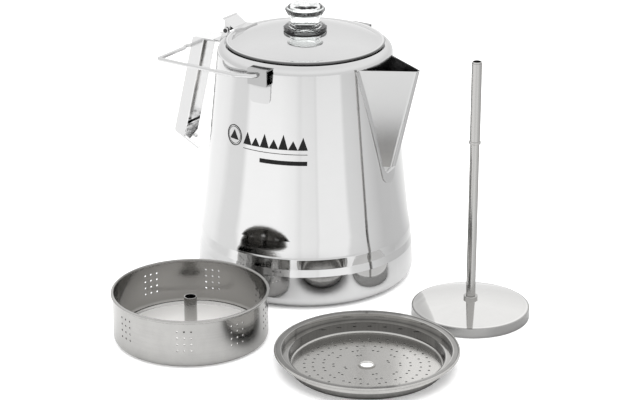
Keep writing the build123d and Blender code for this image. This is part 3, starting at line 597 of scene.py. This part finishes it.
# ------------------------------------------------------------------ floor, world, lights, camera
CAMERA_PLACE = Vector((1.0323, -1.5531, 0.7913))
CAMERA_TILT = math.radians(68.78)
CAMERA_TURN = math.radians(33.2)
LENS_MM = 120.8
SENSOR_MM = 36.0
FLOOR_RADIUS = 3.0
SEEN_LEVEL = -0.0004
MIRRORED_LEVEL = -0.0003
LIGHT_HEIGHT = 3.0
LIGHT_SIDE = 4.0
LIGHT_POWER = 100
facing = math.atan2(CAMERA_PLACE.y, CAMERA_PLACE.x)


def floor_disc(name, level):
    """A plain round floor under everything."""
    mesh = bpy.data.meshes.new(name)
    bm = bmesh.new()
    bmesh.ops.create_circle(bm, cap_ends=True, radius=FLOOR_RADIUS, segments=96)
    bm.to_mesh(mesh)
    bm.free()
    disc = bpy.data.objects.new(name, mesh)
    disc.location = (0, 0, level)
    scene.collection.objects.link(disc)
    return disc


def paper(name):
    """Matt paper whose tone is still to be linked."""
    material, g, shader = new_surface(name)
    shader.inputs["Roughness"].default_value = 0.7
    shader.inputs["Specular IOR Level"].default_value = 0.0
    place = g.new("ShaderNodeTexCoord").outputs["Object"]
    fibre = g.spread(g.noise(place, 300.0, 3.0, 0.6), 0.3, 0.7, 0.0, 0.03)
    return material, g, shader, fibre


# The camera sees this paper, and the steel doesn't mirror it. Its small glow keeps it white.
seen = floor_disc("studio_floor", SEEN_LEVEL)
seen.visible_glossy = False
material, g, shader, fibre = paper("white_paper")
white = g.mix(fibre, opaque(grey(0.93)), opaque(grey(0.88)))
g.link(white, shader.inputs["Base Color"])
shader.inputs["Emission Color"].default_value = (1, 1, 1, 1)
shader.inputs["Emission Strength"].default_value = 0.18
seen.data.materials.append(material)

# The steel mirrors this floor, and the camera doesn't see it. It lies above the seen paper, because
# the paper would shade it. Its bands were fitted to those in the photographed pot.
mirrored = floor_disc("studio_floor_mirrored", MIRRORED_LEVEL)
mirrored.visible_camera = False
mirrored.visible_diffuse = False
mirrored.visible_transmission = False
mirrored.visible_shadow = False
material, g, shader, fibre = paper("banded_paper")
radius, angle = around(g, (0, 0))[:2]
turn = g.math("WRAP", g.math("SUBTRACT", angle, facing), math.pi, -math.pi)
share = g.spread(turn, -math.pi, math.pi, 0.0, 1.0)
# (degrees from the direction of the camera, level)
bands = [(-180, 0.60), (-150, 0.70), (-115, 0.74), (-104, 0.72), (-94, 0.62), (-74, 0.61),
         (-68, 0.80), (-30, 0.80), (-12, 0.74), (-6, 0.66), (-3, 0.70), (10, 0.68), (12, 0.63),
         (14, 0.73), (42, 0.73), (46, 0.58), (60, 0.55), (72, 0.50), (84, 0.43), (112, 0.44),
         (133, 0.58), (150, 0.64), (180, 0.60)]
stops = [((degrees + 180) / 360, level) for degrees, level in bands]
banded = ramp(g, share, stops)
away = g.spread(radius, 0.10, 0.20, 0.0, 1.0)
base = g.mix(away, opaque(grey(0.82)), banded)
g.link(g.mix(fibre, base, opaque(grey(0.7))), shader.inputs["Base Color"])
mirrored.data.materials.append(material)

# White for the camera, and a graded sky for everything else.
world = bpy.data.worlds.new("studio")
scene.world = world
world.use_nodes = True
g = Graph(world.node_tree)
direction = g.new("ShaderNodeTexCoord").outputs["Generated"]
upward = g.split(direction)[2]
# (height of the direction: 0 is well below the horizon, 1 is straight up; level)
sky = [(0.0, 1.0), (0.17, 1.0), (0.31, 1.0), (0.45, 1.1), (0.60, 1.2), (0.80, 1.2), (1.0, 1.1)]
graded = ramp(g, g.spread(upward, -0.2, 1.0, 0.0, 1.0), sky)
surround = g.new("ShaderNodeBackground")
g.link(graded, surround.inputs["Color"])
plain = g.new("ShaderNodeBackground")
plain.inputs["Color"].default_value = opaque(grey(1))
path = g.new("ShaderNodeLightPath")
choose = g.new("ShaderNodeMixShader")
g.link(path.outputs["Is Camera Ray"], choose.inputs[0])
g.link(surround.outputs[0], choose.inputs[1])
g.link(plain.outputs[0], choose.inputs[2])
out = g.new("ShaderNodeOutputWorld")
g.link(choose.outputs[0], out.inputs[0])

# It lights the paper; the steel mirrors the studio and not this sheet of light.
light_data = bpy.data.lights.new("overhead_sheet", "AREA")
light_data.shape = "RECTANGLE"
light_data.size = light_data.size_y = LIGHT_SIDE
light_data.energy = LIGHT_POWER
overhead = bpy.data.objects.new("overhead_sheet", light_data)
overhead.location = (0, 0, LIGHT_HEIGHT)
overhead.visible_glossy = False
scene.collection.objects.link(overhead)

camera_data = bpy.data.cameras.new("view")
camera_data.lens = LENS_MM
camera_data.sensor_width = SENSOR_MM
camera = bpy.data.objects.new("view", camera_data)
camera.location = CAMERA_PLACE
camera.rotation_euler = (CAMERA_TILT, 0, CAMERA_TURN)
scene.collection.objects.link(camera)
scene.camera = camera
